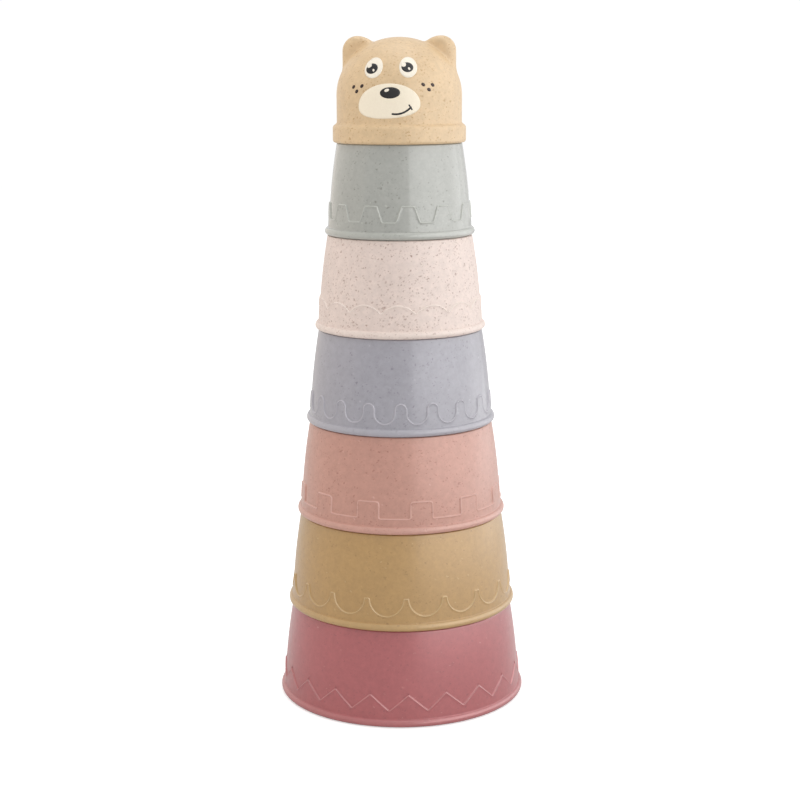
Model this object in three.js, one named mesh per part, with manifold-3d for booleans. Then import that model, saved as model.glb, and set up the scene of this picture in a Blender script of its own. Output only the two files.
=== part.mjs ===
// A stacking cup tower: six round cups turned mouth down, each standing on the ledge of the cup
// below it, and a bear-headed cup on top. Millimetres, +Z up, with the tower's axis on Z, the
// table at z = 0 and the bear's face towards -Y.
//
// Every cup is one thin moulding. From the mouth up it has a rolled rim, a bowed wall with a
// raised patterned band, a narrow ledge, and a neck that plugs into the mouth of the next cup.

import * as THREE from 'three';
import * as BufferGeometryUtils from 'three/addons/utils/BufferGeometryUtils.js';
import Module from 'manifold-3d';

const wasm = await Module();
wasm.setup();

// Driving dimensions that the cups share.
const WALL = 1.5;
const SEGMENTS = 36;
const CURVE_STEPS = 1; // points along a pattern's quarter arc: twice this
const DOME_STEPS = 6;
const OUTER_WALL_STEPS = 3;
const INNER_WALL_STEPS = 2;
const ROUND_STEPS = 3;
const MERGE_DISTANCE = 1e-4;
const CLEAR = 1; // how far a cut runs past the face that it opens
const SEAT_GAP = 0.05; // between a rim's foot and the ledge that it stands on
const NECK_CLEARANCE = 0.35; // between a neck and the mouth around it, on the radius
const BOTTOM_CUP_HEIGHT = 55;
const NEST_STEP = WALL; // each cup is this much shorter than the last, so nested mouths are flush

// The rim, measured from its outer radius inwards and from its foot upwards.
const RIM_LIP = 3.1; // the mouth's radius is this much smaller
const RIM_SEAT = 1.6; // the outer edge of the flat that stands on the ledge
const RIM_STEP = 0.4; // how far the bead outside that flat is held clear of the ledge
const RIM_FOOT = 0.7; // the outer edge of the bead's underside
const RIM_WIDEST = 1.5;
const RIM_TOP = 3.1;
const RIM_TOP_INSET = 0.4;
const RIM_SHOULDER = 3.8; // where the rim meets the wall
const MOUTH_DEPTH = 3.6; // how far up the mouth is straight

// The ledge, the neck and the base on top of it.
const LEDGE_ROUND = 0.5;
const NECK_ROUND = 1.5;
const BASE_RING = 4; // width of the ring that an upright cup stands on
const BASE_RECESS = 0.5;

// The wall leans in from the rim and bows inwards as it rises.
const WALL_SET_BACK = 1.5;
const WALL_LEAN = 0.03;
const WALL_BOW = 0.00192;

// The raised band between the pattern's outline and the rim.
const RELIEF = 0.4;
const BAND_ROOT = 0.8; // how deep the band is rooted in the wall
const PATTERN_TOP = 13.3;
const BAND_SPARE = 0.2; // the ring that the pattern is cut from stands this far above it
const CUT_OVERLAP = 0.4; // neighbouring cuts run into each other by this much
const CUT_INSIDE = 6; // how far the cuts reach inside and outside the rim's radius
const CUT_OUTSIDE = 3;

// The bear's head.
const BEAR = {
  rimRadius: 26.65,
  footInset: 1.2,
  rimWidest: 2.0,
  rimStraight: 4.6,
  straightInset: 0.1,
  rimTop: 7.0,
  topInset: 0.7,
  shoulder: 7.9,
  bodyRadius: 25.0,
  bodyTop: 18.5,
  domeHeight: 22.75,
};

// An ear, seen from the front: how far out its highest point is, and the radii of its outline
// outside and inside that point.
const EAR = {
  peak: 16.9,
  top: 41.7,
  outer: 5.9,
  inner: 9.5,
  foot: 27,
  thickness: 7,
  round: 2.4,
  coreRound: 0.2,
};

// A cup's outer wall is this much inside its rim's radius at a height above its foot.
const wallInset = (z) => WALL_SET_BACK + WALL_LEAN * z + WALL_BOW * z * z;

// Each pattern is one repeat of the band's outline, from the middle of one crest to the middle
// of the next, as arc length and height.

function zigzag(pitch) {
  const low = 6.7;
  const outline = new THREE.Path();
  outline.moveTo(0, PATTERN_TOP);
  outline.lineTo(pitch / 2, low);
  outline.lineTo(pitch, PATTERN_TOP);
  return outline;
}

// Bowls hung between narrow flat crests.
function scallops(pitch) {
  const crest = 2.2;
  const outline = new THREE.Path();
  outline.moveTo(0, PATTERN_TOP);
  outline.lineTo(crest / 2, PATTERN_TOP);
  const width = (pitch - crest) / 2;
  const depth = 7.1;
  outline.absellipse(pitch / 2, PATTERN_TOP, width, depth, Math.PI, 1.5 * Math.PI, false);
  outline.absellipse(pitch / 2, PATTERN_TOP, width, depth, 1.5 * Math.PI, 2 * Math.PI, false);
  outline.lineTo(pitch, PATTERN_TOP);
  return outline;
}

function battlements(pitch) {
  const crestShare = 0.215;
  const half = pitch * crestShare;
  const corner = 1.1;
  const foot = 6.5;
  const outline = new THREE.Path();
  outline.moveTo(0, PATTERN_TOP);
  outline.absarc(half - corner, PATTERN_TOP - corner, corner, Math.PI / 2, 0, true);
  outline.lineTo(half, foot);
  outline.lineTo(pitch - half, foot);
  outline.absarc(pitch - half + corner, PATTERN_TOP - corner, corner, Math.PI, Math.PI / 2, true);
  outline.lineTo(pitch, PATTERN_TOP);
  return outline;
}

// Round fingers with wider round gaps between them.
function waves(pitch) {
  const crestShare = 0.19;
  const low = 5.3;
  const crest = pitch * crestShare;
  const gap = pitch / 2 - crest;
  const outline = new THREE.Path();
  outline.absarc(0, PATTERN_TOP - crest, crest, Math.PI / 2, 0, true);
  outline.absarc(pitch / 2, low + gap, gap, Math.PI, 1.5 * Math.PI, false);
  outline.absarc(pitch / 2, low + gap, gap, 1.5 * Math.PI, 2 * Math.PI, false);
  outline.absarc(pitch, PATTERN_TOP - crest, crest, Math.PI, Math.PI / 2, true);
  return outline;
}

// Low round arches that meet in cusps.
function arches(pitch) {
  const half = pitch / 2;
  const rise = 3.4;
  const radius = (half * half + rise * rise) / (2 * rise);
  const sweep = Math.asin(half / radius);
  const outline = new THREE.Path();
  outline.absarc(0, PATTERN_TOP - radius, radius, Math.PI / 2, Math.PI / 2 - sweep, true);
  outline.absarc(pitch, PATTERN_TOP - radius, radius, Math.PI / 2 + sweep, Math.PI / 2, true);
  return outline;
}

function keystones(pitch) {
  const crestShare = 0.177;
  const footShare = 0.323;
  const low = 7.0;
  const crest = pitch * crestShare;
  const foot = pitch * footShare;
  const outline = new THREE.Path();
  outline.moveTo(0, PATTERN_TOP);
  outline.lineTo(crest, PATTERN_TOP);
  outline.lineTo(foot, low);
  outline.lineTo(pitch - foot, low);
  outline.lineTo(pitch - crest, PATTERN_TOP);
  outline.lineTo(pitch, PATTERN_TOP);
  return outline;
}

// The six plain cups, from the bottom up. bodyHeight is from a cup's foot to its ledge, and
// crestAt is the angle of one of the pattern's crests, in degrees round from the bear's face.
const CUPS = [
  { name: 'rose_cup', rimRadius: 51.0, bodyHeight: 38.5, pattern: zigzag, repeats: 20, crestAt: 12 },
  { name: 'mustard_cup', rimRadius: 47.1, bodyHeight: 38.4, pattern: scallops, repeats: 18, crestAt: 11.2 },
  { name: 'pink_cup', rimRadius: 42.9, bodyHeight: 38.4, pattern: battlements, repeats: 12, crestAt: 20.3 },
  { name: 'blue_cup', rimRadius: 38.7, bodyHeight: 38.1, pattern: waves, repeats: 18, crestAt: 9 },
  { name: 'cream_cup', rimRadius: 34.7, bodyHeight: 38.2, pattern: arches, repeats: 15, crestAt: 7.7 },
  { name: 'sage_cup', rimRadius: 30.3, bodyHeight: 36.7, pattern: keystones, repeats: 12, crestAt: 15.4 },
];

// Matt speckled plastics: [colour, roughness].
const FINISHES = {
  rose_cup: [0xb77a7c, 0.42],
  mustard_cup: [0xc1a47a, 0.42],
  pink_cup: [0xcea69b, 0.42],
  blue_cup: [0xb7b4ba, 0.4],
  cream_cup: [0xecdcd4, 0.45],
  sage_cup: [0xc0c4bb, 0.38],
  bear_cup: [0xeacfa8, 0.5],
};

// A closed geometry as a solid that can be cut and joined.
function solid(geometry) {
  const bare = geometry.clone();
  bare.deleteAttribute('normal');
  bare.deleteAttribute('uv');
  const merged = BufferGeometryUtils.mergeVertices(bare, MERGE_DISTANCE);
  const corners = merged.index.array;
  const kept = [];
  for (let i = 0; i < corners.length; i += 3) {
    const [a, b, c] = corners.slice(i, i + 3);
    if (a !== b && b !== c && c !== a) {
      kept.push(a, b, c);
    }
  }
  const vertProperties = merged.attributes.position.array;
  const triVerts = new Uint32Array(kept);
  return new wasm.Manifold(new wasm.Mesh({ numProp: 3, vertProperties, triVerts }));
}

// A solid of revolution about Z from [radius, height] corners.
function turned(corners) {
  const profile = corners.map(([radius, z]) => new THREE.Vector2(radius, z));
  return solid(new THREE.LatheGeometry(profile, SEGMENTS).rotateX(Math.PI / 2));
}

// An outline of arc length and height, made thick from one radius to another round the axis.
function wrapped(shape, { arcRadius, inner, outer, turn }) {
  const geometry = new THREE.ExtrudeGeometry(shape, {
    depth: outer - inner,
    bevelEnabled: false,
  });
  const position = geometry.attributes.position;
  for (let i = 0; i < position.count; i += 1) {
    const angle = turn + position.getX(i) / arcRadius;
    const radius = inner + position.getZ(i);
    position.setXYZ(i, radius * Math.sin(angle), -radius * Math.cos(angle), position.getY(i));
  }
  return solid(geometry);
}

// Heights spread evenly between two, both included.
function between(low, high, steps) {
  return Array.from({ length: steps + 1 }, (_, i) => low + (high - low) * (i / steps));
}

// The raised band: a ring on the wall, less everything above the pattern's outline.
function patternedBand({ rimRadius, pattern, repeats, crestAt }) {
  const low = RIM_TOP;
  const high = PATTERN_TOP + BAND_SPARE;
  const outside = (z) => [rimRadius - wallInset(z) + RELIEF, z];
  const inside = (z) => [rimRadius - wallInset(z) - BAND_ROOT, z];
  let band = turned([outside(low), outside(high), inside(high), inside(low), outside(low)]);

  const arcRadius = rimRadius - wallInset((low + high) / 2);
  const step = (2 * Math.PI) / repeats;
  const pitch = arcRadius * step;
  const clear = high + CLEAR;
  const outline = pattern(pitch).getPoints(CURVE_STEPS);
  const gap = new THREE.Shape([
    new THREE.Vector2(-CUT_OVERLAP, PATTERN_TOP),
    ...outline,
    new THREE.Vector2(pitch + CUT_OVERLAP, PATTERN_TOP),
    new THREE.Vector2(pitch + CUT_OVERLAP, clear),
    new THREE.Vector2(-CUT_OVERLAP, clear),
  ]);
  const firstTurn = THREE.MathUtils.degToRad(crestAt);
  const inner = rimRadius - CUT_INSIDE;
  const outer = rimRadius + CUT_OUTSIDE;
  for (let i = 0; i < repeats; i += 1) {
    const turn = firstTurn + i * step;
    band = band.subtract(wrapped(gap, { arcRadius, inner, outer, turn }));
  }
  return band;
}

// A plain cup, mouth down, with its foot at z = 0. mouthAbove is the mouth radius of the cup
// that stands on it.
function cupSolid(cup, height, mouthAbove) {
  const { rimRadius } = cup;
  const ledge = cup.bodyHeight - SEAT_GAP;
  const outerAt = (z) => [rimRadius - wallInset(z), z];
  const innerAt = (z) => [rimRadius - wallInset(z) - WALL, z];
  const neck = mouthAbove - NECK_CLEARANCE;
  const neckTop = neck - (wallInset(height - ledge) - wallInset(0));
  const ceiling = height - WALL;
  const [ledgeEdge] = outerAt(ledge);
  const body = turned([
    [0, ceiling],
    [neckTop - WALL, ceiling],
    [neck - WALL, ledge - WALL],
    ...between(ledge - WALL, MOUTH_DEPTH, INNER_WALL_STEPS).map(innerAt),
    [rimRadius - RIM_LIP, 0],
    [rimRadius - RIM_SEAT, 0],
    [rimRadius - RIM_SEAT, RIM_STEP],
    [rimRadius - RIM_FOOT, RIM_STEP],
    [rimRadius, RIM_WIDEST],
    [rimRadius - RIM_TOP_INSET, RIM_TOP],
    ...between(RIM_SHOULDER, ledge - LEDGE_ROUND, OUTER_WALL_STEPS).map(outerAt),
    [ledgeEdge - LEDGE_ROUND, ledge],
    [neck, ledge],
    [neckTop, height - NECK_ROUND],
    [neckTop - NECK_ROUND, height],
    [neckTop - BASE_RING, height],
    [neckTop - BASE_RING - BASE_RECESS, height - BASE_RECESS],
    [0, height - BASE_RECESS],
  ]);
  return body.add(patternedBand(cup));
}

// A quarter of an ellipse from the wall's top to the axis, as [radius, height] corners.
function dome(radius, height, base, steps) {
  return between(0, Math.PI / 2, steps).map((a) => [
    a === Math.PI / 2 ? 0 : radius * Math.cos(a),
    base + height * Math.sin(a),
  ]);
}

// One ear's front outline, from its foot up: upright sides with an arc over each. inset makes
// its core.
function earOutline(side, inset) {
  const steps = 5;
  const top = EAR.top - inset;
  const arc = (radius, from, to) => between(from, to, steps).map((a) => [
    EAR.peak + radius * Math.cos(a),
    top - radius + radius * Math.sin(a),
  ]);
  const outer = arc(EAR.outer - inset, 0, Math.PI / 2);
  const inner = arc(EAR.inner - inset, Math.PI / 2, Math.PI);
  const corners = [
    [EAR.peak - EAR.inner + inset, EAR.foot],
    [EAR.peak + EAR.outer - inset, EAR.foot],
    ...outer,
    ...inner.slice(1),
  ];
  return new THREE.Shape(corners.map(([x, z]) => new THREE.Vector2(side * x, z)));
}

function earSolid(side, inset) {
  const isCore = inset > 0;
  const round = isCore ? EAR.coreRound : EAR.round;
  const thickness = EAR.thickness - 2 * inset;
  const geometry = new THREE.ExtrudeGeometry(earOutline(side, inset), {
    depth: thickness - 2 * round,
    bevelThickness: round,
    bevelSize: round,
    bevelOffset: -round,
    bevelSegments: isCore ? 1 : ROUND_STEPS,
  });
  geometry.rotateX(Math.PI / 2);
  geometry.translate(0, thickness / 2 - round, 0);
  return solid(geometry);
}

// The bear's head: a cup with a thick rim, an upright wall, a domed crown and two hollow ears.
function bearSolid() {
  const { rimRadius, bodyRadius, bodyTop, domeHeight } = BEAR;
  const mouth = bodyRadius - WALL;
  const outside = turned([
    [0, 0],
    [rimRadius - BEAR.footInset, 0],
    [rimRadius, BEAR.rimWidest],
    [rimRadius - BEAR.straightInset, BEAR.rimStraight],
    [rimRadius - BEAR.topInset, BEAR.rimTop],
    [bodyRadius, BEAR.shoulder],
    ...dome(bodyRadius, domeHeight, bodyTop, DOME_STEPS),
  ]);
  const inside = turned([
    [0, -CLEAR],
    [mouth, -CLEAR],
    ...dome(mouth, domeHeight - WALL, bodyTop, DOME_STEPS - 1),
  ]);
  const head = outside.add(earSolid(-1, 0)).add(earSolid(1, 0));
  const hollow = inside.add(earSolid(-1, WALL)).add(earSolid(1, WALL));
  return head.subtract(hollow);
}

// A named mesh of a finished solid, standing at a height on the tower's axis.
function piece(name, shape, z) {
  const { vertProperties, triVerts } = shape.getMesh();
  const geometry = new THREE.BufferGeometry();
  geometry.setAttribute('position', new THREE.BufferAttribute(vertProperties, 3));
  geometry.setIndex(new THREE.BufferAttribute(triVerts, 1));
  geometry.computeVertexNormals();
  const [color, roughness] = FINISHES[name];
  const material = new THREE.MeshStandardMaterial({ color, roughness, metalness: 0 });
  const mesh = new THREE.Mesh(geometry, material);
  mesh.name = name;
  mesh.position.z = z;
  return mesh;
}

const tower = new THREE.Group();
let foot = 0;
CUPS.forEach((cup, i) => {
  const above = CUPS[i + 1];
  const mouthAbove = above ? above.rimRadius - RIM_LIP : BEAR.bodyRadius - WALL;
  const height = BOTTOM_CUP_HEIGHT - NEST_STEP * i;
  tower.add(piece(cup.name, cupSolid(cup, height, mouthAbove), foot));
  foot += cup.bodyHeight;
});
tower.add(piece('bear_cup', bearSolid(), foot));

export default tower;
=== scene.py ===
"""A stacking cup tower: six speckled plastic cups, mouth down, and a bear-headed cup on top.

Lengths are in millimetres until the last step, where a mesh is made in metres. Each cup is a
turned shell with a raised band whose upper edge is a repeated pattern. The bear's head is a
smooth blend of a turned head and two ears, and its face is printed on it in thin ink.
"""

import math

import bmesh
import bpy
import numpy as np
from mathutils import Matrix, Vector
from mathutils.geometry import delaunay_2d_cdt


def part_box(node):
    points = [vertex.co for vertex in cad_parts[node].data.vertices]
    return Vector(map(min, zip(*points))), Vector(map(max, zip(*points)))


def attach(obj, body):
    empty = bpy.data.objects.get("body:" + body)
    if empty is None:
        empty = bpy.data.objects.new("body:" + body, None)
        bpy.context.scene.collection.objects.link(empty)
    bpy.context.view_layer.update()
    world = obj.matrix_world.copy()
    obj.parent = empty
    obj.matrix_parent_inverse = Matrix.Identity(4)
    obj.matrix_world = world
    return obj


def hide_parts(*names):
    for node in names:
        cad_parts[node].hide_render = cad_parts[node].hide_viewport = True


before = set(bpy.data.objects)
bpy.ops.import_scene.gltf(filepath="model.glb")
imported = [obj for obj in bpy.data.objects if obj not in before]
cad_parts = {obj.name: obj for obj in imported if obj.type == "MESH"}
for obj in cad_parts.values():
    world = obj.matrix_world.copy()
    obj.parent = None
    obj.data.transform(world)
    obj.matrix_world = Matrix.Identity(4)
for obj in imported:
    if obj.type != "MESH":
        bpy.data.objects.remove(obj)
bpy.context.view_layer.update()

MM = 0.001

# What the cups share.
WALL = 1.5
SEAT_GAP = 0.05
NECK_CLEARANCE = 0.35
RIM_LIP = 3.1
MOUTH_DEPTH = 3.6
BEAD_WIDTH = 1.3
BEAD_LOW = 1.55
BEAD_HIGH = 1.65
BEAD_STEP = 0.2
LEDGE_ROUND = 0.6
NECK_ROUND = 1.5
BASE_RING = 4.0
BASE_RECESS = 0.5

# How far inside its rim's radius a cup's wall starts, and how it leans and bows inward above that.
WALL_SET_BACK = 1.5
WALL_LEAN = 0.03
WALL_BOW = 0.00192

# A rolled bead: how far it turns under, how far in from its outside a painted highlight reaches, and how
# strong that painted highlight is.
BEAD_UNDERCUT = 0.3
BEAD_HIGHLIGHT_DEPTH = 0.8
BEAD_HIGHLIGHT = 0.4

# The raised band round a cup, from just above its rim to just above the pattern. Its patterned
# edge carries a fine lip.
RELIEF = 0.32
LIP = 0.2
LIP_WIDTH = 0.36
BAND_LOW = 4.0
BAND_HIGH = 14.5
PATTERN_TOP = 13.3

# The patterned edge: how softly its corners turn, half the width of its step, and how far out on
# the wall the first line of points runs along it.
PATTERN_SOFTNESS = 0.38
EDGE_HALF = 0.17
EDGE_GUARD = 0.42

# How closely the cups' meshes are laid out: columns round a cup, the lines along a pattern's edge,
# and a lattice on the rest of the band.
COLUMN_WIDTH = 0.66
LINE_STEP = 0.8
LINE_TURN = math.radians(16)
LATTICE_SPACING = 0.95
LATTICE_RISE = 0.85
LATTICE_MARGIN = 0.8

# The bear's head, from its own foot up.
HEAD_RADIUS = 25.0
HEAD_SIDE = 18.5
HEAD_DOME = 22.75
HEAD_RIM_RADIUS = 26.65
HEAD_RIM_HEIGHT = 7.4
HEAD_RIM_MIDDLE = 3.0
HEAD_RIM_TOP_ROUND = 1.7
HEAD_RIM_FOOT_ROUND = 1.2
HEAD_START = 1.0
HEAD_GRID = 0.5

# An ear: how far out its highest point is, and the radii of its outline either side of that.
EAR_PEAK = 16.9
EAR_TOP = 41.7
EAR_OUTER = 5.9
EAR_INNER = 9.5
EAR_THICKNESS = 7.0
EAR_ROUND = 3.4
EAR_HOLLOW_ROUND = 0.4
EAR_FOOT = 27.0

# An ear's plate gets thinner outward from this far inside its peak, at this rate.
EAR_TAPER = 0.025
EAR_TAPER_START = 2.5

# The shallow round dish in an ear's front: how far out and up its middle is, and its size.
EAR_DISH = (13.6, 37.4)
EAR_DISH_RADIUS = 3.8
EAR_DISH_DEPTH = 0.45

# The fillets between the parts of the head.
RIM_BLEND = 0.9
EAR_BLEND = 1.2
DISH_BLEND = 1.4
HOLLOW_BLEND = 0.6
MOUTH_BLEND = 0.5

# The print: how far its three layers stand off the head, how far it is sunk, and its mesh.
INK_FIRST = 0.05
INK_SECOND = 0.09
INK_THIRD = 0.12
INK_SUNK = -0.05
INK_GRID = 0.6


# ---------------------------------------------------------------- camera, light and stage

VIEW_TURN = math.radians(8.9)
VIEW_DROP = math.radians(11.15)
VIEW_ROLL = math.radians(-0.25)
CAMERA_DISTANCE = 0.6665
CAMERA_HEIGHT = 0.2544
CAMERA_LENS = 74.02
CAMERA_SHIFT = -0.0007

# The room's strength as light and where the camera sees it, and the floor's own glow there.
ROOM_LIGHT = 0.83
BACKGROUND = 1.02
FLOOR_HALF = 3.0
FLOOR_GLOW = 0.5


def round_the_tower(turn, distance, height):
    """A point at a turn to the viewer's right of the bear's face, in radians and metres."""
    return Vector((distance * math.sin(turn), -distance * math.cos(turn), height))


def make_camera():
    """The camera at the photograph's angle."""
    data = bpy.data.cameras.new("camera")
    data.lens = CAMERA_LENS
    data.sensor_width = 36
    data.shift_x = CAMERA_SHIFT
    camera = bpy.data.objects.new("camera", data)
    camera.location = round_the_tower(VIEW_TURN, CAMERA_DISTANCE, CAMERA_HEIGHT)
    camera.rotation_euler = (math.pi / 2 - VIEW_DROP, 0, VIEW_TURN)
    camera.rotation_euler.rotate_axis("Z", VIEW_ROLL)
    bpy.context.scene.collection.objects.link(camera)
    bpy.context.scene.camera = camera


def as_seen(right, behind, up):
    """A direction or point given to the viewer's right, behind the tower and up."""
    c, s = math.cos(VIEW_TURN), math.sin(VIEW_TURN)
    return Vector((right * c - behind * s, right * s + behind * c, up))


def make_panel(name, place, facing, size, glow, colour=(1, 1, 1), glossy=True, diffuse=True):
    """A soft rectangular light as bright as its glow, placed and facing as the viewer sees it."""
    data = bpy.data.lights.new(name, "AREA")
    data.shape = "RECTANGLE"
    data.size, data.size_y = size
    data.energy = glow * math.pi * size[0] * size[1]
    data.color = colour
    light = bpy.data.objects.new(name, data)
    light.location = as_seen(*place)
    light.rotation_euler = as_seen(*facing).to_track_quat("-Z", "Y").to_euler()
    light.visible_camera = False
    light.visible_glossy = glossy
    light.visible_diffuse = diffuse
    bpy.context.scene.collection.objects.link(light)


def seen_otherwise(tree, socket, as_light, as_seen_value):
    """Gives a socket one value for the light it casts and another where the camera looks at it."""
    ray = tree.nodes.new("ShaderNodeLightPath")
    choice = tree.nodes.new("ShaderNodeMapRange")
    choice.inputs["To Min"].default_value = as_light
    choice.inputs["To Max"].default_value = as_seen_value
    tree.links.new(ray.outputs["Is Camera Ray"], choice.inputs["Value"])
    tree.links.new(choice.outputs["Result"], socket)


def make_stage():
    """The studio: an even room, soft panels round the tower and a pale floor."""
    scene = bpy.context.scene
    scene.view_settings.view_transform = "Standard"
    scene.view_settings.look = "None"
    world = bpy.data.worlds.new("studio")
    world.use_nodes = True
    sky = world.node_tree.nodes["Background"]
    sky.inputs["Color"].default_value = (1, 1, 1, 1)
    seen_otherwise(world.node_tree, sky.inputs["Strength"], ROOM_LIGHT, BACKGROUND)
    scene.world = world

    make_panel("right_front", (0.5, -0.915, 0.42), (-1, 0, 0), (1.65, 0.9), 2.7, diffuse=False)
    make_panel("right_side", (0.5, 0.1, 0.42), (-1, 0, 0), (0.38, 0.9), 1.9, diffuse=False)
    make_panel("right_back", (0.5, 0.45, 0.42), (-1, 0, 0), (0.32, 0.9), 0.7, diffuse=False)
    make_panel("right_low", (0.5, 0.25, 0.03), (-1, 0, 0), (0.6, 0.06), 1.6, diffuse=False)
    make_panel("warm_left", (-0.5, 0.54, 0.3), (1, 0, 0), (1.66, 0.9), 0.25, (1, 0.75, 0.5))
    make_panel("key", (0.9, 0.2, 0.25), (-1, -0.2, 0), (0.9, 0.9), 1.05, glossy=False)
    make_panel("overhead", (0.1, -0.5, 2.2), (0, 0.2, -1), (2.0, 2.0), 0.75, glossy=False)
    make_panel("overhead_strip", (0.1, 0.05, 1.1), (-0.1, -0.05, -1), (1.0, 0.6), 1.8, diffuse=False)

    mesh = bpy.data.meshes.new("floor")
    low, high = -FLOOR_HALF, FLOOR_HALF
    corners = [(low, low, 0), (high, low, 0), (high, high, 0), (low, high, 0)]
    mesh.from_pydata(corners, [], [(0, 1, 2, 3)])
    floor = bpy.data.objects.new("floor", mesh)
    scene.collection.objects.link(floor)
    paper = bpy.data.materials.new("floor_paper")
    paper.use_nodes = True
    shader = paper.node_tree.nodes["Principled BSDF"]
    shader.inputs["Base Color"].default_value = (0.75, 0.75, 0.75, 1)
    shader.inputs["Roughness"].default_value = 0.9
    shader.inputs["Emission Color"].default_value = (1, 1, 1, 1)
    seen_otherwise(paper.node_tree, shader.inputs["Emission Strength"], 0.0, FLOOR_GLOW)
    mesh.materials.append(paper)


# ---------------------------------------------------------------- materials

def linear(hex_colour):
    """A colour written as rrggbb in linear light."""
    channels = [int(hex_colour[i:i + 2], 16) / 255 for i in (0, 2, 4)]
    return [c / 12.92 if c <= 0.04045 else ((c + 0.055) / 1.055) ** 2.4 for c in channels]


class Nodes:
    """Adds nodes to a material in short lines."""

    def __init__(self, name):
        self.material = bpy.data.materials.new(name)
        self.material.use_nodes = True
        self.tree = self.material.node_tree
        self.shader = self.tree.nodes["Principled BSDF"]

    def add(self, kind, settings=None, **inputs):
        node = self.tree.nodes.new(kind)
        for key, value in (settings or {}).items():
            setattr(node, key, value)
        for key, value in inputs.items():
            self.set(node.inputs[key.replace("_", " ")], value)
        return node

    def set(self, socket, value):
        if isinstance(value, bpy.types.NodeSocket):
            self.tree.links.new(value, socket)
        else:
            socket.default_value = value

    def math(self, operation, a, b=0.5, clamp=False):
        node = self.add("ShaderNodeMath", {"operation": operation, "use_clamp": clamp})
        self.set(node.inputs[0], a)
        self.set(node.inputs[1], b)
        return node.outputs[0]

    def mix(self, factor, a, b):
        node = self.add("ShaderNodeMix", {"data_type": "RGBA"})
        self.set(node.inputs["Factor"], factor)
        self.set(node.inputs[6], a)
        self.set(node.inputs[7], b)
        return node.outputs[2]

    def ramp(self, value, low, high):
        """0 below low, 1 above high, and smooth between."""
        node = self.add("ShaderNodeMapRange", {"interpolation_type": "SMOOTHSTEP"})
        for key, number in (("Value", value), ("From Min", low), ("From Max", high)):
            self.set(node.inputs[key], number)
        return node.outputs["Result"]


def ragged(nodes, place):
    """The place, pushed a little this way and that, so that specks laid out by it are uneven."""
    push = nodes.add("ShaderNodeTexNoise", Vector=place, Scale=1300.0, Detail=1.0)
    centred = nodes.add("ShaderNodeVectorMath", {"operation": "MULTIPLY_ADD"})
    nodes.set(centred.inputs[0], push.outputs["Color"])
    nodes.set(centred.inputs[1], (0.0012, 0.0012, 0.0012))
    nodes.set(centred.inputs[2], place)
    return centred.outputs[0]


def fleck_layer(nodes, place, cell, stretch, turn, share, size):
    """How much of a fleck covers each point: scattered specks, drawn out along one direction.

    cell is the spacing of the cells in mm, share the part of them that hold a fleck, and size
    the fleck's radius as a part of a cell.
    """
    laid = nodes.add("ShaderNodeMapping", {"vector_type": "TEXTURE"}, Vector=place)
    laid.inputs["Rotation"].default_value = turn
    laid.inputs["Scale"].default_value = (1, 1, stretch)
    cells = nodes.add("ShaderNodeTexVoronoi", Vector=laid.outputs[0], Scale=1000 / cell)
    pick = nodes.add("ShaderNodeSeparateColor", Color=cells.outputs["Color"])
    bare = nodes.math("SUBTRACT", 1.0, share)
    held = nodes.ramp(pick.outputs[0], bare, nodes.math("ADD", bare, 0.02))
    reach = nodes.math("MULTIPLY", nodes.math("ADD", pick.outputs[1], 0.35), size)
    edge = nodes.math("SUBTRACT", reach, cells.outputs["Distance"])
    body = nodes.ramp(edge, 0.0, size * 0.6)
    strength = nodes.ramp(pick.outputs[2], -0.4, 1.0)
    return nodes.math("MULTIPLY", nodes.math("MULTIPLY", held, body), strength)


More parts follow.
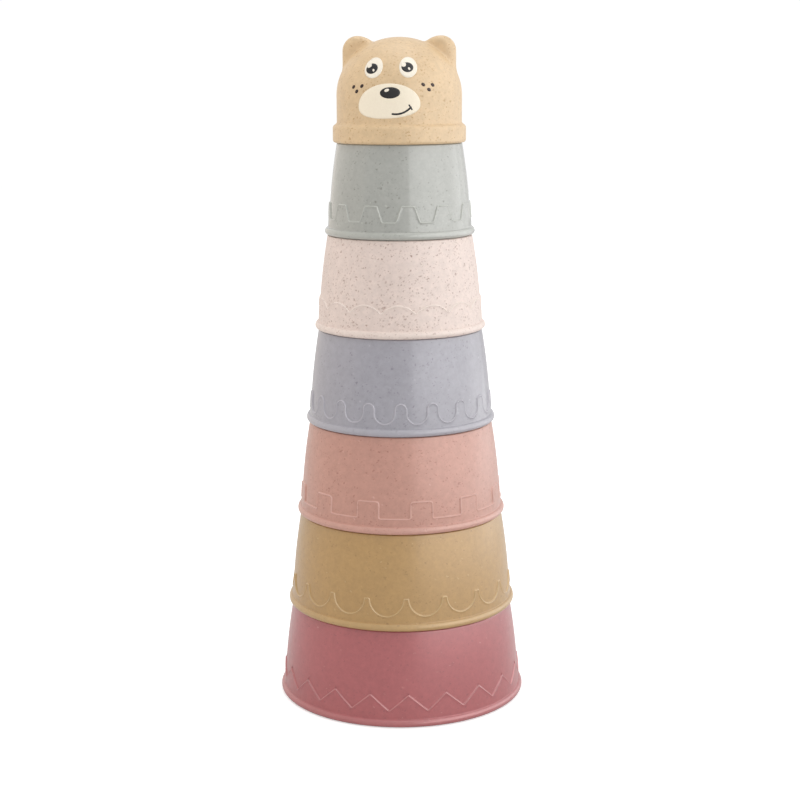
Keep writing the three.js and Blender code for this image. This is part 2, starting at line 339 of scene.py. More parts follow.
def speckled_plastic(
        name, colour, dark, pale, roughness, fine, coarse, light_ones, gloss,
        polish=0.25, shine=0.5, edge_highlight=0.6):
    """Moulded plastic filled with fine straw: mottled, with dark and pale flecks under its skin.

    fine, coarse and light_ones are the shares of cells that hold fine dark specks, longer dark
    fibres and pale specks, gloss is how much of a smoother skin lies over the plastic, polish is
    that skin's roughness, shine is how strongly the plastic itself reflects, and the last setting
    is how far a painted highlight on the edges lightens them towards the pale colour.
    """
    nodes = Nodes(name)
    place = nodes.add("ShaderNodeTexCoord").outputs["Object"]
    cloud = nodes.add("ShaderNodeTexNoise", Vector=place, Scale=60.0, Detail=2.0)
    blot = nodes.add("ShaderNodeTexNoise", Vector=place, Scale=420.0, Detail=2.0)
    grain = nodes.add("ShaderNodeTexNoise", Vector=place, Scale=1100.0, Detail=2.0)
    colour_out = linear(colour)
    for noise, low, high in ((cloud, 0.975, 1.02), (blot, 0.95, 1.045), (grain, 0.965, 1.03)):
        shade = nodes.add("ShaderNodeMapRange", Value=noise.outputs["Fac"])
        for key, number in (("From Min", 0.3), ("From Max", 0.7), ("To Min", low), ("To Max", high)):
            shade.inputs[key].default_value = number
        scaled = nodes.add("ShaderNodeVectorMath", {"operation": "SCALE"}, Scale=shade.outputs["Result"])
        nodes.set(scaled.inputs[0], colour_out)
        colour_out = scaled.outputs[0]

    uneven = ragged(nodes, place)
    crowd = nodes.add("ShaderNodeTexNoise", Vector=place, Scale=110.0, Detail=1.0)
    crowding = nodes.add("ShaderNodeMapRange", Value=crowd.outputs["Fac"])
    for key, number in (("From Min", 0.35), ("From Max", 0.65), ("To Min", 0.45), ("To Max", 1.5)):
        crowding.inputs[key].default_value = number
    # Cell, stretch, direction, share, size and depth of colour of each kind of dark fleck.
    dark_layers = (
        (0.85, 1.4, (0.4, 0.9, 0.2), fine, 0.38, 0.55),
        (1.4, 1.8, (1.5, 0.3, 2.0), fine * 0.7, 0.26, 0.6),
        (2.1, 2.4, (0.9, 1.9, 0.5), coarse, 0.15, 0.7),
        (3.1, 4.0, (2.3, 1.2, 0.7), coarse, 0.085, 0.7),
    )
    for cell, stretch, turn, share, size, depth in dark_layers:
        held = nodes.math("MULTIPLY", crowding.outputs["Result"], share)
        cover = fleck_layer(nodes, uneven, cell, stretch, turn, held, size)
        colour_out = nodes.mix(nodes.math("MULTIPLY", cover, depth), colour_out, [*linear(dark), 1])
    cover = fleck_layer(nodes, uneven, 1.5, 1.8, (0.8, 2.2, 1.1), light_ones, 0.22)
    colour_out = nodes.mix(nodes.math("MULTIPLY", cover, 0.5), colour_out, [*linear(pale), 1])
    # Painted highlight: where the mesh marks an edge, the colour is lightened towards the pale colour,
    # as if light caught it.
    painted_edge_highlight = nodes.add("ShaderNodeAttribute", {"attribute_name": "painted_edge_highlight"})
    highlight_share = nodes.math("MULTIPLY", painted_edge_highlight.outputs["Fac"], edge_highlight)
    colour_out = nodes.mix(highlight_share, colour_out, [*linear(pale), 1])
    nodes.set(nodes.shader.inputs["Base Color"], colour_out)

    patchy = nodes.add("ShaderNodeTexNoise", Vector=place, Scale=350.0, Detail=2.0)
    spread = nodes.math("MULTIPLY", nodes.math("SUBTRACT", patchy.outputs["Fac"], 0.5), 0.16)
    nodes.set(nodes.shader.inputs["Roughness"], nodes.math("ADD", spread, roughness))
    bump = nodes.add("ShaderNodeBump", Strength=0.1, Distance=0.0001, Height=grain.outputs["Fac"])
    nodes.set(nodes.shader.inputs["Normal"], bump.outputs["Normal"])
    nodes.shader.inputs["IOR"].default_value = 1.49
    nodes.shader.inputs["Specular IOR Level"].default_value = shine
    nodes.shader.inputs["Coat Weight"].default_value = gloss
    nodes.shader.inputs["Coat Roughness"].default_value = polish
    nodes.shader.inputs["Coat IOR"].default_value = 1.4
    return nodes.material


def print_ink(name, colour, roughness=0.35):
    """Printed ink: nearly even, with the fine unevenness that a print pad leaves."""
    nodes = Nodes(name)
    place = nodes.add("ShaderNodeTexCoord").outputs["Object"]
    grain = nodes.add("ShaderNodeTexNoise", Vector=place, Scale=1400.0, Detail=2.0)
    base = linear(colour)
    low = [c * 0.94 for c in base] + [1]
    high = [min(1, c * 1.03 + 0.002) for c in base] + [1]
    nodes.set(nodes.shader.inputs["Base Color"], nodes.mix(grain.outputs["Fac"], low, high))
    spread = nodes.math("MULTIPLY", grain.outputs["Fac"], 0.1)
    nodes.set(nodes.shader.inputs["Roughness"], nodes.math("ADD", spread, roughness))
    return nodes.material


# ---------------------------------------------------------------- mesh helpers

def make_piece(name, points, faces, material, normals=None, painted_edge_highlight=None):
    """A smooth mesh from points in mm. Its repeated points are joined, unless it has normals.

    The last argument is each point's share of a painted highlight on an edge, which lightens its colour.
    """
    mesh = bpy.data.meshes.new(name)
    mesh.from_pydata((np.asarray(points) * MM).tolist(), [], [tuple(f) for f in faces])
    mesh.materials.append(material)
    # Store each point's share of the painted edge highlight for the material to read.
    if painted_edge_highlight is not None:
        mesh.attributes.new("painted_edge_highlight", "FLOAT", "POINT").data.foreach_set("value", painted_edge_highlight)
    if normals is None:
        shape = bmesh.new()
        shape.from_mesh(mesh)
        bmesh.ops.remove_doubles(shape, verts=shape.verts, dist=2e-6)
        bmesh.ops.recalc_face_normals(shape, faces=shape.faces)
        shape.to_mesh(mesh)
        shape.free()
    mesh.shade_smooth()
    if normals is not None:
        mesh.normals_split_custom_set_from_vertices(normals.tolist())
    piece = bpy.data.objects.new(name, mesh)
    bpy.context.scene.collection.objects.link(piece)
    return piece


def rounded(corners, steps_per_quarter=5):
    """A line of [radius, height] points through corners (radius, height, fillet)."""
    points = []
    for i, (r, z, fillet) in enumerate(corners):
        corner = np.array([r, z], float)
        if fillet == 0:
            points.append(corner)
            continue
        back = np.array(corners[i - 1][:2], float) - corner
        ahead = np.array(corners[i + 1][:2], float) - corner
        back /= np.linalg.norm(back)
        ahead /= np.linalg.norm(ahead)
        half = math.acos(float(np.clip(back @ ahead, -1, 1))) / 2
        middle = (back + ahead) / np.linalg.norm(back + ahead)
        centre = corner + middle * fillet / math.sin(half)
        start = corner + back * fillet / math.tan(half) - centre
        end = corner + ahead * fillet / math.tan(half) - centre
        sweep = math.pi - 2 * half
        steps = max(1, math.ceil(steps_per_quarter * sweep / (math.pi / 2)))
        for j in range(steps + 1):
            share = j / steps
            blend = start * math.sin((1 - share) * sweep) + end * math.sin(share * sweep)
            points.append(centre + blend / math.sin(sweep))
    return np.array(points)


def turned(profile, turn, columns, foot):
    """Points and faces of a profile turned about the axis. A point on the axis closes it."""
    points, faces, previous = [], [], None
    angles = turn + np.arange(columns) * (2 * math.pi / columns)
    for r, z in profile:
        start = len(points)
        if r < 1e-6:
            points.append((0, 0, foot + z))
            ring = [start] * columns
        else:
            points += [(r * math.sin(a), -r * math.cos(a), foot + z) for a in angles]
            ring = list(range(start, start + columns))
        if previous:
            for i in range(columns):
                j = (i + 1) % columns
                corners = (previous[i], previous[j], ring[j], ring[i])
                faces.append(tuple(dict.fromkeys(corners)))
        previous = ring
    return points, faces


# ---------------------------------------------------------------- the patterns

def arc(centre, radii, start, end, steps=40):
    """Points along an ellipse's arc, in degrees."""
    turns = np.radians(np.linspace(start, end, steps + 1))
    return [(centre[0] + radii[0] * math.cos(t), centre[1] + radii[1] * math.sin(t)) for t in turns]


def zigzag(pitch):
    """Straight teeth."""
    low = 6.7
    return [(0, PATTERN_TOP), (pitch / 2, low), (pitch, PATTERN_TOP)]


def scallops(pitch):
    """Hanging bowls between narrow flat crests."""
    half_crest, depth = 1.1, 7.1
    bowl = arc((pitch / 2, PATTERN_TOP), (pitch / 2 - half_crest, depth), 180, 360)
    return [(0, PATTERN_TOP), *bowl, (pitch, PATTERN_TOP)]


def battlements(pitch):
    """Upright blocks with rounded upper corners."""
    half, corner, low = pitch * 0.215, 1.1, 6.5
    left = arc((half - corner, PATTERN_TOP - corner), (corner, corner), 90, 0)
    right = arc((pitch - half + corner, PATTERN_TOP - corner), (corner, corner), 180, 90)
    gap = [(half, low), (pitch - half, low)]
    return [(0, PATTERN_TOP), *left, *gap, *right, (pitch, PATTERN_TOP)]


def waves(pitch):
    """Round crests and round hollows with upright sides."""
    crest, low = pitch * 0.19, 5.3
    gap = pitch / 2 - crest
    left = arc((0, PATTERN_TOP - crest), (crest, crest), 90, 0)
    bowl = arc((pitch / 2, low + gap), (gap, gap), 180, 360)
    right = arc((pitch, PATTERN_TOP - crest), (crest, crest), 180, 90)
    return [*left, *bowl, *right]


def arches(pitch):
    """Low round arches that meet in points."""
    half, rise = pitch / 2, 3.4
    radius = (half * half + rise * rise) / (2 * rise)
    sweep = math.degrees(math.asin(half / radius))
    left = arc((0, PATTERN_TOP - radius), (radius, radius), 90, 90 - sweep)
    right = arc((pitch, PATTERN_TOP - radius), (radius, radius), 90 + sweep, 90)
    return [*left, *right]


def keystones(pitch):
    """Flat-topped blocks with sloping sides."""
    crest, foot, low = pitch * 0.177, pitch * 0.323, 7.0
    return [
        (0, PATTERN_TOP),
        (crest, PATTERN_TOP),
        (foot, low),
        (pitch - foot, low),
        (pitch - crest, PATTERN_TOP),
        (pitch, PATTERN_TOP),
    ]


def spaced(line, step):
    """The line's points at an even spacing."""
    line = np.array(line, float)
    keep = np.r_[True, np.hypot(*np.diff(line, axis=0).T) > 1e-9]
    line = line[keep]
    along = np.r_[0, np.cumsum(np.hypot(*np.diff(line, axis=0).T))]
    count = max(2, round(along[-1] / step))
    at = np.linspace(0, along[-1], count + 1)
    return np.stack([np.interp(at, along, line[:, 0]), np.interp(at, along, line[:, 1])], axis=1)


def softened(line, pitch, width):
    """One repeat of the line with its corners rounded over a width, as a mould's edges are."""
    step = 0.04
    points = spaced(line, step)
    reach = int(4 * width / step)
    before = points[-reach - 1:-1] - (pitch, 0)
    after = points[1:reach + 1] + (pitch, 0)
    padded = np.concatenate([before, points, after])
    weights = np.exp(-0.5 * (np.arange(-reach, reach + 1) * step / width) ** 2)
    weights /= weights.sum()
    smooth = np.stack([np.convolve(padded[:, k], weights, "valid") for k in (0, 1)], axis=1)
    smooth[0, 0], smooth[-1, 0] = 0, pitch
    return smooth


def thinned(line, longest, sharpest):
    """Fewer points: one for every stretch this long or turn this sharp, whichever comes first."""
    ahead = np.diff(line, axis=0)
    length = np.hypot(*ahead.T)
    heading = np.unwrap(np.arctan2(ahead[:, 1], ahead[:, 0]))
    turn = np.abs(np.diff(heading, append=heading[-1]))
    cost = np.r_[0, np.cumsum(length / longest + turn / sharpest)]
    at = np.linspace(0, cost[-1], max(2, math.ceil(cost[-1])) + 1)
    return np.stack([np.interp(at, cost, line[:, 0]), np.interp(at, cost, line[:, 1])], axis=1)


def distance_to(line, points):
    """Each point's distance to the line."""
    a, b = line[:-1], line[1:]
    along = b - a
    length = np.maximum((along ** 2).sum(1), 1e-12)
    nearest = np.full(len(points), np.inf)
    at_a_time = 500
    for start in range(0, len(points), at_a_time):
        end = start + at_a_time
        part = points[start:end, None, :]
        share = np.clip(((part - a) * along).sum(2) / length, 0, 1)
        gap = part - a - share[..., None] * along
        nearest[start:end] = np.sqrt((gap ** 2).sum(2).min(1))
    return nearest


def below(line, points):
    """Whether each point has the line above it, by counting the crossings over it."""
    a, b = line[:-1], line[1:]
    u, z = points[:, 0, None], points[:, 1, None]
    spans = (a[:, 0] <= u) != (b[:, 0] <= u)
    rise = (b[:, 1] - a[:, 1]) / np.where(b[:, 0] == a[:, 0], 1, b[:, 0] - a[:, 0])
    over = a[:, 1] + (u - a[:, 0]) * rise > z
    return (spans & over).sum(1) % 2 == 1


def eased(share):
    """0 up to 0, 1 from 1, and smooth between."""
    share = np.clip(share, 0, 1)
    return share * share * (3 - 2 * share)


def band_tile(pattern, pitch, columns):
    """One repeat of the raised band, laid flat: points, height, painted highlight and triangles."""
    line = softened(pattern(pitch), pitch, PATTERN_SOFTNESS)
    heading = np.gradient(line, axis=0)
    heading /= np.hypot(*heading.T)[:, None]
    heading[[0, -1]] = (1, 0)
    left = np.stack([-heading[:, 1], heading[:, 0]], axis=1)

    points, edges = [], []
    across = np.linspace(0, pitch, columns + 1)
    points += [(u, BAND_LOW) for u in across]
    points += [(u, BAND_HIGH) for u in across]
    third = EDGE_HALF / 3
    lip_end = EDGE_HALF + LIP_WIDTH
    lip_middle = (EDGE_HALF + lip_end) / 2
    for depth in (-EDGE_GUARD, -EDGE_HALF, -third, third, EDGE_HALF, lip_middle, lip_end):
        shifted = line - left * depth
        clear = distance_to(line, shifted) > abs(depth) * 0.97
        clear[[0, -1]] = True
        route = thinned(shifted[clear], LINE_STEP, LINE_TURN)
        first = len(points)
        points += [tuple(p) for p in route]
        edges += [(first + i, first + i + 1) for i in range(len(route) - 1)]

    spacing = pitch / round(pitch / LATTICE_SPACING)
    rows = np.arange(BAND_LOW + LATTICE_MARGIN, BAND_HIGH - LATTICE_MARGIN, LATTICE_RISE)
    lattice = []
    for j, z in enumerate(rows):
        offset = 0 if j % 2 == 0 else spacing / 2
        row = np.arange(0, pitch + 1e-6, spacing) + offset
        lattice += [(u, z) for u in row if u <= pitch + 1e-6]
        if offset:
            lattice += [(0, z), (pitch, z)]
    lattice = np.array(lattice)
    lattice[:, 0] = np.clip(lattice[:, 0], 0, pitch)
    lattice = lattice[distance_to(line, lattice) > LATTICE_MARGIN]
    points += [tuple(p) for p in lattice]

    flat, _, triangles, *_ = delaunay_2d_cdt([Vector(p) for p in points], edges, [], 0, 1e-5)
    flat = np.array([tuple(p) for p in flat])
    flat[np.abs(flat[:, 0]) < 1e-4, 0] = 0
    flat[np.abs(flat[:, 0] - pitch) < 1e-4, 0] = pitch
    inside = np.where(below(line, np.clip(flat, [1e-5, 0], [pitch - 1e-5, 99])), 1, -1)
    depth = inside * distance_to(line, flat)
    rise = eased((depth + EDGE_HALF) / (2 * EDGE_HALF))
    fall = eased((depth - EDGE_HALF) / LIP_WIDTH)
    # Painted highlight on the step's upper edge and its lip, where light would catch them.
    painted_edge_highlight = eased((depth + EDGE_HALF) / EDGE_HALF) * (1 - fall)
    return flat, RELIEF * rise + LIP * (rise - fall), painted_edge_highlight, triangles


# ---------------------------------------------------------------- the cups

def wall_inset(z):
    """How far inside its rim's radius a cup's outer wall is, at a height above its foot."""
    return WALL_SET_BACK + WALL_LEAN * z + WALL_BOW * z * z


def band_mesh(rim_radius, foot, pattern, repeats, columns, turn):
    """A cup's whole raised band: its tile, repeated round the cup on the wall's curve."""
    arc_radius = rim_radius - wall_inset((BAND_LOW + PATTERN_TOP) / 2)
    pitch = 2 * math.pi * arc_radius / repeats
    flat, raised, painted_edge_highlight, triangles = band_tile(pattern, pitch, columns)
    radius = rim_radius - wall_inset(flat[:, 1]) + raised
    points, faces = [], []
    for i in range(repeats):
        angle = turn + (i + flat[:, 0] / pitch) * (2 * math.pi / repeats)
        first = len(flat) * i
        tile = np.stack([radius * np.sin(angle), -radius * np.cos(angle), foot + flat[:, 1]], axis=1)
        points.append(tile)
        faces += [(first + a, first + b, first + c) for a, b, c in triangles]
    return np.concatenate(points), faces, np.tile(painted_edge_highlight, repeats)


def make_cup(name, above, mouth_above, pattern, repeats, crest_at, material):
    """A cup as wide, as high and in the same place as its CAD box, under the next cup's foot.

    mouth_above is the radius of the next cup's mouth, and crest_at is how many degrees from the
    bear's face the middle of one crest of the pattern is.
    """
    low, high = (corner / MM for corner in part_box(name))
    rim_radius, foot, height = (high.x - low.x) / 2, low.z, high.z - low.z
    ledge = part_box(above)[0].z / MM - foot - SEAT_GAP
    neck = mouth_above - NECK_CLEARANCE
    neck_top = neck - (wall_inset(height - ledge) - wall_inset(0))
    ceiling = height - WALL

    def outer(z):
        return rim_radius - wall_inset(z)

    under_ledge = ledge - WALL
    inside_wall = [(outer(z) - WALL, z, 0) for z in np.linspace(under_ledge - 2, MOUTH_DEPTH + 1, 9)]
    bead = arc((rim_radius - BEAD_WIDTH, BEAD_LOW), (BEAD_WIDTH, BEAD_LOW - BEAD_STEP), -90, 0, 6)
    bead += arc((rim_radius - BEAD_WIDTH, BEAD_LOW), (BEAD_WIDTH, BEAD_HIGH), 0, 62, 5)[1:]
    crease = BEAD_LOW + BEAD_HIGH
    lower = rounded([
        (0, ceiling, 0),
        (neck_top / 2, ceiling, 0),
        (neck_top - WALL, ceiling, 1.2),
        (neck - WALL, under_ledge, 0.6),
        (outer(under_ledge) - WALL, under_ledge, 0.8),
        *inside_wall,
        (rim_radius - RIM_LIP, MOUTH_DEPTH, 0),
        (rim_radius - RIM_LIP, 0, 0.4),
        (rim_radius - BEAD_WIDTH - BEAD_UNDERCUT, 0, 0.2),
        (rim_radius - BEAD_WIDTH - BEAD_UNDERCUT, BEAD_STEP, 0.15),
        *[(r, z, 0) for r, z in bead],
        (outer(crease) + RELIEF, crease, 0.3),
        (outer(BAND_LOW) + RELIEF, BAND_LOW, 0),
    ])
    upper = rounded([
        *[(outer(z), z, 0) for z in np.linspace(BAND_HIGH, ledge - 2 * LEDGE_ROUND, 15)],
        (outer(ledge), ledge, LEDGE_ROUND),
        (neck, ledge, 0.4),
        (neck_top, height, NECK_ROUND),
        (neck_top - BASE_RING, height, 0.3),
        (neck_top - BASE_RING - BASE_RECESS, height - BASE_RECESS, 0.3),
        (neck_top / 2, height - BASE_RECESS, 0),
        (0, height - BASE_RECESS, 0),
    ])

    turn = math.radians(crest_at)
    columns = math.ceil(2 * math.pi * rim_radius / repeats / COLUMN_WIDTH)
    parts = [
        turned(lower, turn, columns * repeats, foot),
        band_mesh(rim_radius, foot, pattern, repeats, columns, turn),
        turned(upper, turn, columns * repeats, foot),
    ]
    # Painted highlight: on the outer part of the bead, and along the band's edges as its tile gives.
    highlight_from = rim_radius - BEAD_HIGHLIGHT_DEPTH
    points, faces, painted_edge_highlight = [], [], []
    for part_points, part_faces, *part_highlight in parts:
        first = len(points)
        points += [tuple(p) for p in part_points]
        faces += [tuple(first + i for i in face) for face in part_faces]
        bead_highlight = [BEAD_HIGHLIGHT * (math.hypot(x, y) > highlight_from) for x, y, _ in part_points]
        painted_edge_highlight += list(part_highlight[0]) if part_highlight else bead_highlight
    piece = make_piece(name + "_shell", points, faces, material, painted_edge_highlight=painted_edge_highlight)
    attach(piece, name)
    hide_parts(name)


# ---------------------------------------------------------------- the bear's head

def blend_union(a, b, width):
    """The nearer of two distances, with a fillet of about this width where they meet."""
    share = np.maximum(width - np.abs(a - b), 0) / width
    return np.minimum(a, b) - share * share * width / 4


def blend_common(a, b, width):
    """The farther of two distances, filleted in the same way."""
    return -blend_union(-a, -b, width)


def domed(r, z, radius, side, dome):
    """Distance to an upright side with an elliptical dome on it."""
    up = np.maximum(z - side, 0)
    scaled = np.hypot(r / radius, up / dome) + 1e-9
    slope = np.hypot(r / radius ** 2, up / dome ** 2) + 1e-9
    return np.where(z > side, scaled * (scaled - 1) / slope, r - radius)


def boxed(across, up, rounding):
    """Distance to a corner between two flats, rounded."""
    a, b = across + rounding, up + rounding
    return np.minimum(np.maximum(a, b), 0) + np.hypot(np.maximum(a, 0), np.maximum(b, 0)) - rounding


def lobe(x, y, z, inset, rounding):
    """Distance to both ears: upright lobes, made thinner all round by an inset."""
    across = np.abs(x) - EAR_PEAK

    def side(radius):
        up = z - EAR_TOP + radius
        return np.where(up > 0, np.hypot(across, up), np.abs(across)) - radius

    outline = np.where(across > 0, side(EAR_OUTER), side(EAR_INNER)) + inset
    thinner = EAR_TAPER * np.maximum(across + EAR_TAPER_START, 0) ** 2
    half = EAR_THICKNESS / 2 - inset - thinner
    plate = boxed(outline, np.abs(y) - half, np.clip(half, 0.05, rounding))
    return np.maximum(plate, EAR_FOOT + inset - z)


def head_field(p):
    """Distance to the bear's shell, below zero in the plastic."""
    x, y, z = p
    r = np.hypot(x, y)
    head = np.maximum(domed(r, z, HEAD_RADIUS, HEAD_SIDE, HEAD_DOME), HEAD_START - z)
    rim_top = boxed(r - HEAD_RIM_RADIUS, z - HEAD_RIM_HEIGHT, HEAD_RIM_TOP_ROUND)
    rim_foot = boxed(r - HEAD_RIM_RADIUS, -z, HEAD_RIM_FOOT_ROUND)
    rim = np.where(z > HEAD_RIM_MIDDLE, rim_top, rim_foot)
    ears = lobe(x, y, z, 0, EAR_ROUND)
    ball = (EAR_DISH_RADIUS ** 2 + EAR_DISH_DEPTH ** 2) / (2 * EAR_DISH_DEPTH)
    front = -EAR_THICKNESS / 2 + EAR_DISH_DEPTH - ball
    out, up = np.abs(x) - EAR_DISH[0], z - EAR_DISH[1]
    dish = np.sqrt(out ** 2 + (y - front) ** 2 + up ** 2) - ball
    ears = blend_common(ears, -dish, DISH_BLEND)
    outside = blend_union(blend_union(head, rim, RIM_BLEND), ears, EAR_BLEND)
    hollow = domed(r, z, HEAD_RADIUS - WALL, HEAD_SIDE, HEAD_DOME - WALL)
    hollow = blend_union(hollow, lobe(x, y, z, WALL, EAR_HOLLOW_ROUND), HOLLOW_BLEND)
    return blend_common(outside, -hollow, MOUTH_BLEND)


def slope_of(field, p, step=0.02):
    """The field's gradient at each point."""
    slopes = []
    for axis in range(3):
        shift = np.zeros((3, 1))
        shift[axis] = step
        slopes.append((field(p + shift) - field(p - shift)) / (2 * step))
    return np.array(slopes)


def settled(p, field, rounds=5):
    """Points moved onto the surface where the field is zero."""
    for _ in range(rounds):
        slope = slope_of(field, p)
        p = p - slope * field(p) / np.maximum((slope ** 2).sum(0), 0.05)
    return p


def skin(field, low, high, step):
    """A mesh of quads over the surface where a field is zero: one point in each cell it crosses."""
    axes = [np.arange(a, b + step, step) for a, b in zip(low, high)]
    grid = np.array(np.meshgrid(*axes, indexing="ij"))
    within = field(grid) < 0
    ends = (slice(None, -1), slice(1, None))
    corners = sum(within[i, j, k].astype(int) for i in ends for j in ends for k in ends)
    crossed = (corners > 0) & (corners < 8)
    index = np.full(crossed.shape, -1)
    index[crossed] = np.arange(crossed.sum())
    points = np.array(low)[:, None] + (np.argwhere(crossed).T + 0.5) * step
    quads = []
    for axis in range(3):
        count = within.shape[axis]
        first = np.take(within, range(count - 1), axis)
        second = np.take(within, range(1, count), axis)
        at = np.argwhere(first != second)
        one, two = (np.eye(3, dtype=int)[(axis + k) % 3] for k in (1, 2))
        quad = np.stack([index[tuple(c.T)] for c in (at, at - one, at - one - two, at - two)], axis=1)
        inward = ~first[tuple(at.T)]
        quad[inward] = quad[inward][:, ::-1]
        quads.append(quad)
    return points, np.concatenate(quads)


def relaxed(p, quads, field, rounds=4):
    """The same mesh with its points spread more evenly over the surface."""
    pairs = np.concatenate([quads[:, [i, (i + 1) % 4]] for i in range(4)])
    count = np.bincount(pairs.ravel(), minlength=p.shape[1])
    for _ in range(rounds):
        total = np.zeros_like(p)
        for axis in range(3):
            total[axis] += np.bincount(pairs[:, 0], p[axis, pairs[:, 1]], p.shape[1])
            total[axis] += np.bincount(pairs[:, 1], p[axis, pairs[:, 0]], p.shape[1])
        p = settled(0.5 * p + 0.5 * total / count, field, 2)
    return p


def make_head(material):
    """The bear cup: head, rim and ears in one moulding."""
    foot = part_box("bear_cup")[0].z / MM
    low, high = (-28, -28, -1), (28, 28, 43)
    points, quads = skin(head_field, low, high, HEAD_GRID)
    points = settled(points, head_field)
    points = relaxed(points, quads, head_field)
    normals = slope_of(head_field, points)
    normals /= np.linalg.norm(normals, axis=0)
    points[2] += foot
    piece = make_piece("bear_cup_shell", points.T, quads.tolist(), material, normals.T)
    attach(piece, "bear_cup")
    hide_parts("bear_cup")


# ---------------------------------------------------------------- the printed face

def meridian():
    """The head's outline as distance up over it, radius, height and the outward direction."""
    turns = np.linspace(0, math.pi / 2, 2000)
    radius, height = HEAD_RADIUS * np.cos(turns), HEAD_SIDE + HEAD_DOME * np.sin(turns)
    along = HEAD_SIDE + np.r_[0, np.cumsum(np.hypot(np.diff(radius), np.diff(height)))]
    out = np.stack([np.cos(turns) / HEAD_RADIUS, np.sin(turns) / HEAD_DOME])
    out /= np.hypot(*out)
    return np.r_[0, along], np.r_[HEAD_RADIUS, radius], np.r_[0, height], np.c_[(1, 0), out]


def on_head(centre, flat, lift):
    """Puts flat points (across, up) on the head round a centre (degrees from the face, up)."""
    along, radius, height, out = meridian()
    middle = np.interp(centre[1], along, radius)
    angle = math.radians(centre[0]) + flat[:, 0] / middle
    up = centre[1] + flat[:, 1]
    r = np.interp(up, along, radius) + lift * np.interp(up, along, out[0])
    z = np.interp(up, along, height) + lift * np.interp(up, along, out[1])
    return np.stack([r * np.sin(angle), -r * np.cos(angle), z], axis=1)


def oval(half_width, half_height, tilt=0.0, steps=72):
    """The outline of an oval, tilted by some degrees."""
    turns = np.linspace(0, 2 * math.pi, steps, endpoint=False)
    flat = np.stack([half_width * np.cos(turns), half_height * np.sin(turns)], axis=1)
    return turned_flat(flat, tilt)


def turned_flat(flat, degrees):
    """Flat points turned anticlockwise."""
    c, s = math.cos(math.radians(degrees)), math.sin(math.radians(degrees))
    return flat @ np.array([[c, s], [-s, c]])


def muzzle_outline():
    """A wide, soft oval, fuller below its middle than above."""
    half_width = 12.65
    above, below_it = (8.3, 2.0), (5.0, 2.35)
    points = []
    for turn in np.linspace(0, 2 * math.pi, 120, endpoint=False):
        c, s = math.cos(turn), math.sin(turn)
        height, fullness = above if s > 0 else below_it
        reach = (abs(c) ** fullness + abs(s) ** fullness) ** (-1 / fullness)
        points.append((half_width * reach * c, height * reach * s))
    return turned_flat(np.array(points), 3)


def stroke(path, half_width):
    """The outline of a line with round ends."""
    path = np.array(path, float)
    heading = np.gradient(path, axis=0)
    heading /= np.hypot(*heading.T)[:, None]
    side = np.stack([-heading[:, 1], heading[:, 0]], axis=1) * half_width
    turns = np.linspace(0, math.pi, 9)[1:-1, None]
    end_cap = path[-1] + side[-1] * np.cos(turns) + heading[-1] * half_width * np.sin(turns)
    start_cap = path[0] - side[0] * np.cos(turns) - heading[0] * half_width * np.sin(turns)
    return np.concatenate([path + side, end_cap, (path - side)[::-1], start_cap])


def ink_patch(centre, outline, lift):
    """Points and faces of one patch of ink: a thin closed sheet that follows the head."""
    columns, rows = (np.arange(outline[:, k].min(), outline[:, k].max(), INK_GRID) for k in (0, 1))
    spots = np.array([(u, v) for u in columns for v in rows])
    closed = np.concatenate([outline, outline[:1]])
    inside = below(closed, spots) & (distance_to(closed, spots) > INK_GRID / 2)
    count = len(outline)
    flat = [Vector(p) for p in [*outline, *spots[inside]]]
    edges = [(i, (i + 1) % count) for i in range(count)]
    flat, _, faces, *_ = delaunay_2d_cdt(flat, edges, [list(range(count))], 1, 1e-6)
    flat = np.array([tuple(p) for p in flat])
    total = len(flat)
    points = np.concatenate([on_head(centre, flat, lift), on_head(centre, flat, INK_SUNK)])
    sheet = [tuple(f) for f in faces]
    sheet += [tuple(total + i for i in reversed(f)) for f in faces]
    sheet += [(total + a, total + b, b, a) for a, b in edges]
    return points, sheet


def make_ink(name, patches, material):
    """One colour of the print: several patches on the bear's head."""
    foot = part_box("bear_cup")[0].z / MM
    points, faces = [], []
    for centre, outline, lift in patches:
        first = len(points)
        patch_points, patch_faces = ink_patch(centre, outline, lift)
        points += [(x, y, z + foot) for x, y, z in patch_points]
        faces += [tuple(first + i for i in f) for f in patch_faces]
    piece = make_piece(name, points, faces, material)
    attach(piece, "bear_cup")


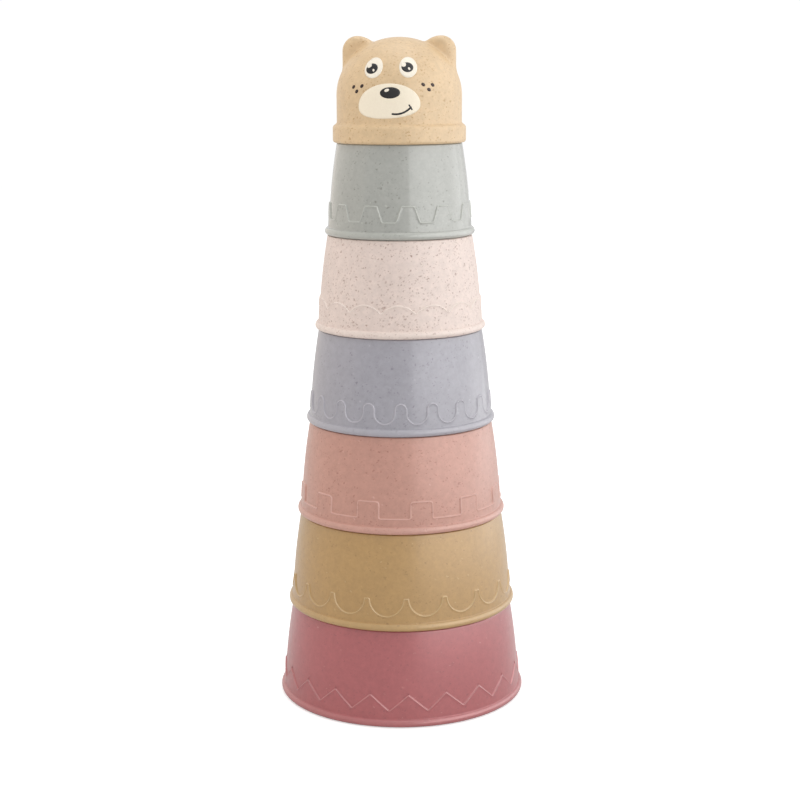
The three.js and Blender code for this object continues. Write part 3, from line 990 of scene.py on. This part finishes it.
def make_face():
    """The print on the bear, one piece for each colour. A place is degrees round and mm up."""
    left_eye, right_eye = (-17.7, 29.95), (18.2, 30.15)
    left_pupil, right_pupil = (-19.15, 29.35), (17.2, 29.9)
    nose = (0.7, 19.7)
    notch, glint = oval(1.0, 1.1), oval(0.42, 0.6, 25)
    make_ink("face_print_cream", [
        ((-1.1, 14.95), muzzle_outline(), INK_FIRST),
    ], print_ink("cream_ink", "fff1da"))
    make_ink("face_print_white", [
        (left_eye, oval(3.8, 4.65, 8), INK_FIRST),
        (right_eye, oval(3.5, 4.65, -8), INK_FIRST),
        ((-23.1, 30.7), notch, INK_THIRD),
        ((13.3, 31.1), notch, INK_THIRD),
        ((-16.9, 28.6), glint, INK_THIRD),
        ((18.8, 29.2), glint, INK_THIRD),
        ((-2.2, 20.65), oval(0.95, 0.55, 18), INK_THIRD),
    ], print_ink("white_ink", "fdf3e2"))
    smile = stroke(arc((2.8, 0.0), (8.0, 8.0), -98.5, -42.5, 24), 0.36)
    cheek = stroke([(-0.52, 0.8), (0, 0.03), (0.52, -0.8)], 0.3)
    make_ink("face_print_black", [
        (left_pupil, oval(2.45, 2.25), INK_SECOND),
        (right_pupil, oval(2.3, 2.15), INK_SECOND),
        (nose, oval(3.95, 2.15, 2), INK_SECOND),
        ((-0.9, 19.6), smile, INK_SECOND),
        ((18.85, 14.2), cheek, INK_SECOND),
    ], print_ink("black_ink", "0c0b0e", 0.5))
    left_freckle, right_freckle = oval(0.85, 0.66, 35), oval(0.85, 0.66, -30)
    make_ink("face_print_brown", [
        ((-36.7, 21.95), left_freckle, INK_FIRST),
        ((-26.9, 22.3), left_freckle, INK_FIRST),
        ((-32.4, 20.25), left_freckle, INK_FIRST),
        ((31.0, 22.8), right_freckle, INK_FIRST),
        ((40.5, 22.65), right_freckle, INK_FIRST),
        ((36.4, 20.85), right_freckle, INK_FIRST),
    ], print_ink("brown_ink", "2c160e", 0.5))


# ---------------------------------------------------------------- the tower

make_camera()
make_stage()

# Each plain cup from the table up: its pattern, how many times that repeats round the cup, and
# where one crest is.
PLAIN_CUPS = [
    ("rose_cup", zigzag, 20, 12.0),
    ("mustard_cup", scallops, 18, 11.2),
    ("pink_cup", battlements, 12, 20.3),
    ("blue_cup", waves, 18, 9.0),
    ("cream_cup", arches, 15, 7.7),
    ("sage_cup", keystones, 12, 15.4),
]

# In each look, the edge setting is the strength of the painted highlight on the cup's edges; cups
# without one use the default.
LOOKS = {
    "rose_cup": dict(
        colour="ab5c5e", dark="8d4f52", pale="c99291", roughness=0.36,
        fine=0.3, coarse=0.12, light_ones=0.2, gloss=0.7, shine=0.58, edge_highlight=0.4,
    ),
    "mustard_cup": dict(
        colour="b38e59", dark="8d6c42", pale="cfb485", roughness=0.4,
        fine=0.3, coarse=0.1, light_ones=0.2, gloss=0.6, shine=0.55, edge_highlight=0.5,
    ),
    "pink_cup": dict(
        colour="c29081", dark="945448", pale="dcb0a4", roughness=0.42,
        fine=0.5, coarse=0.25, light_ones=0.2, gloss=0.5,
    ),
    "blue_cup": dict(
        colour="a3a1a9", dark="77727c", pale="c2bfc6", roughness=0.34,
        fine=0.4, coarse=0.15, light_ones=0.25, gloss=0.3, polish=0.06,
    ),
    "cream_cup": dict(
        colour="e4d2c9", dark="8b5f4c", pale="f2e6dc", roughness=0.46,
        fine=1.0, coarse=0.5, light_ones=0.4, gloss=0.05,
    ),
    "sage_cup": dict(
        colour="a9aaa4", dark="74746a", pale="c6c9c0", roughness=0.36,
        fine=0.5, coarse=0.2, light_ones=0.3, gloss=0.75, polish=0.06,
    ),
    "bear_cup": dict(
        colour="dec199", dark="b0834c", pale="ecd3ab", roughness=0.42,
        fine=0.75, coarse=0.3, light_ones=0.3, gloss=0.05, shine=0.46,
    ),
}

plastics = {
    name: speckled_plastic(name.replace("_cup", "_plastic_look"), **look)
    for name, look in LOOKS.items()
}
for i, (name, pattern, repeats, crest_at) in enumerate(PLAIN_CUPS):
    if i + 1 < len(PLAIN_CUPS):
        above = PLAIN_CUPS[i + 1][0]
        low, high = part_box(above)
        mouth_above = (high.x - low.x) / 2 / MM - RIM_LIP
    else:
        above = "bear_cup"
        mouth_above = HEAD_RADIUS - WALL
    make_cup(name, above, mouth_above, pattern, repeats, crest_at, plastics[name])
make_head(plastics["bear_cup"])
make_face()
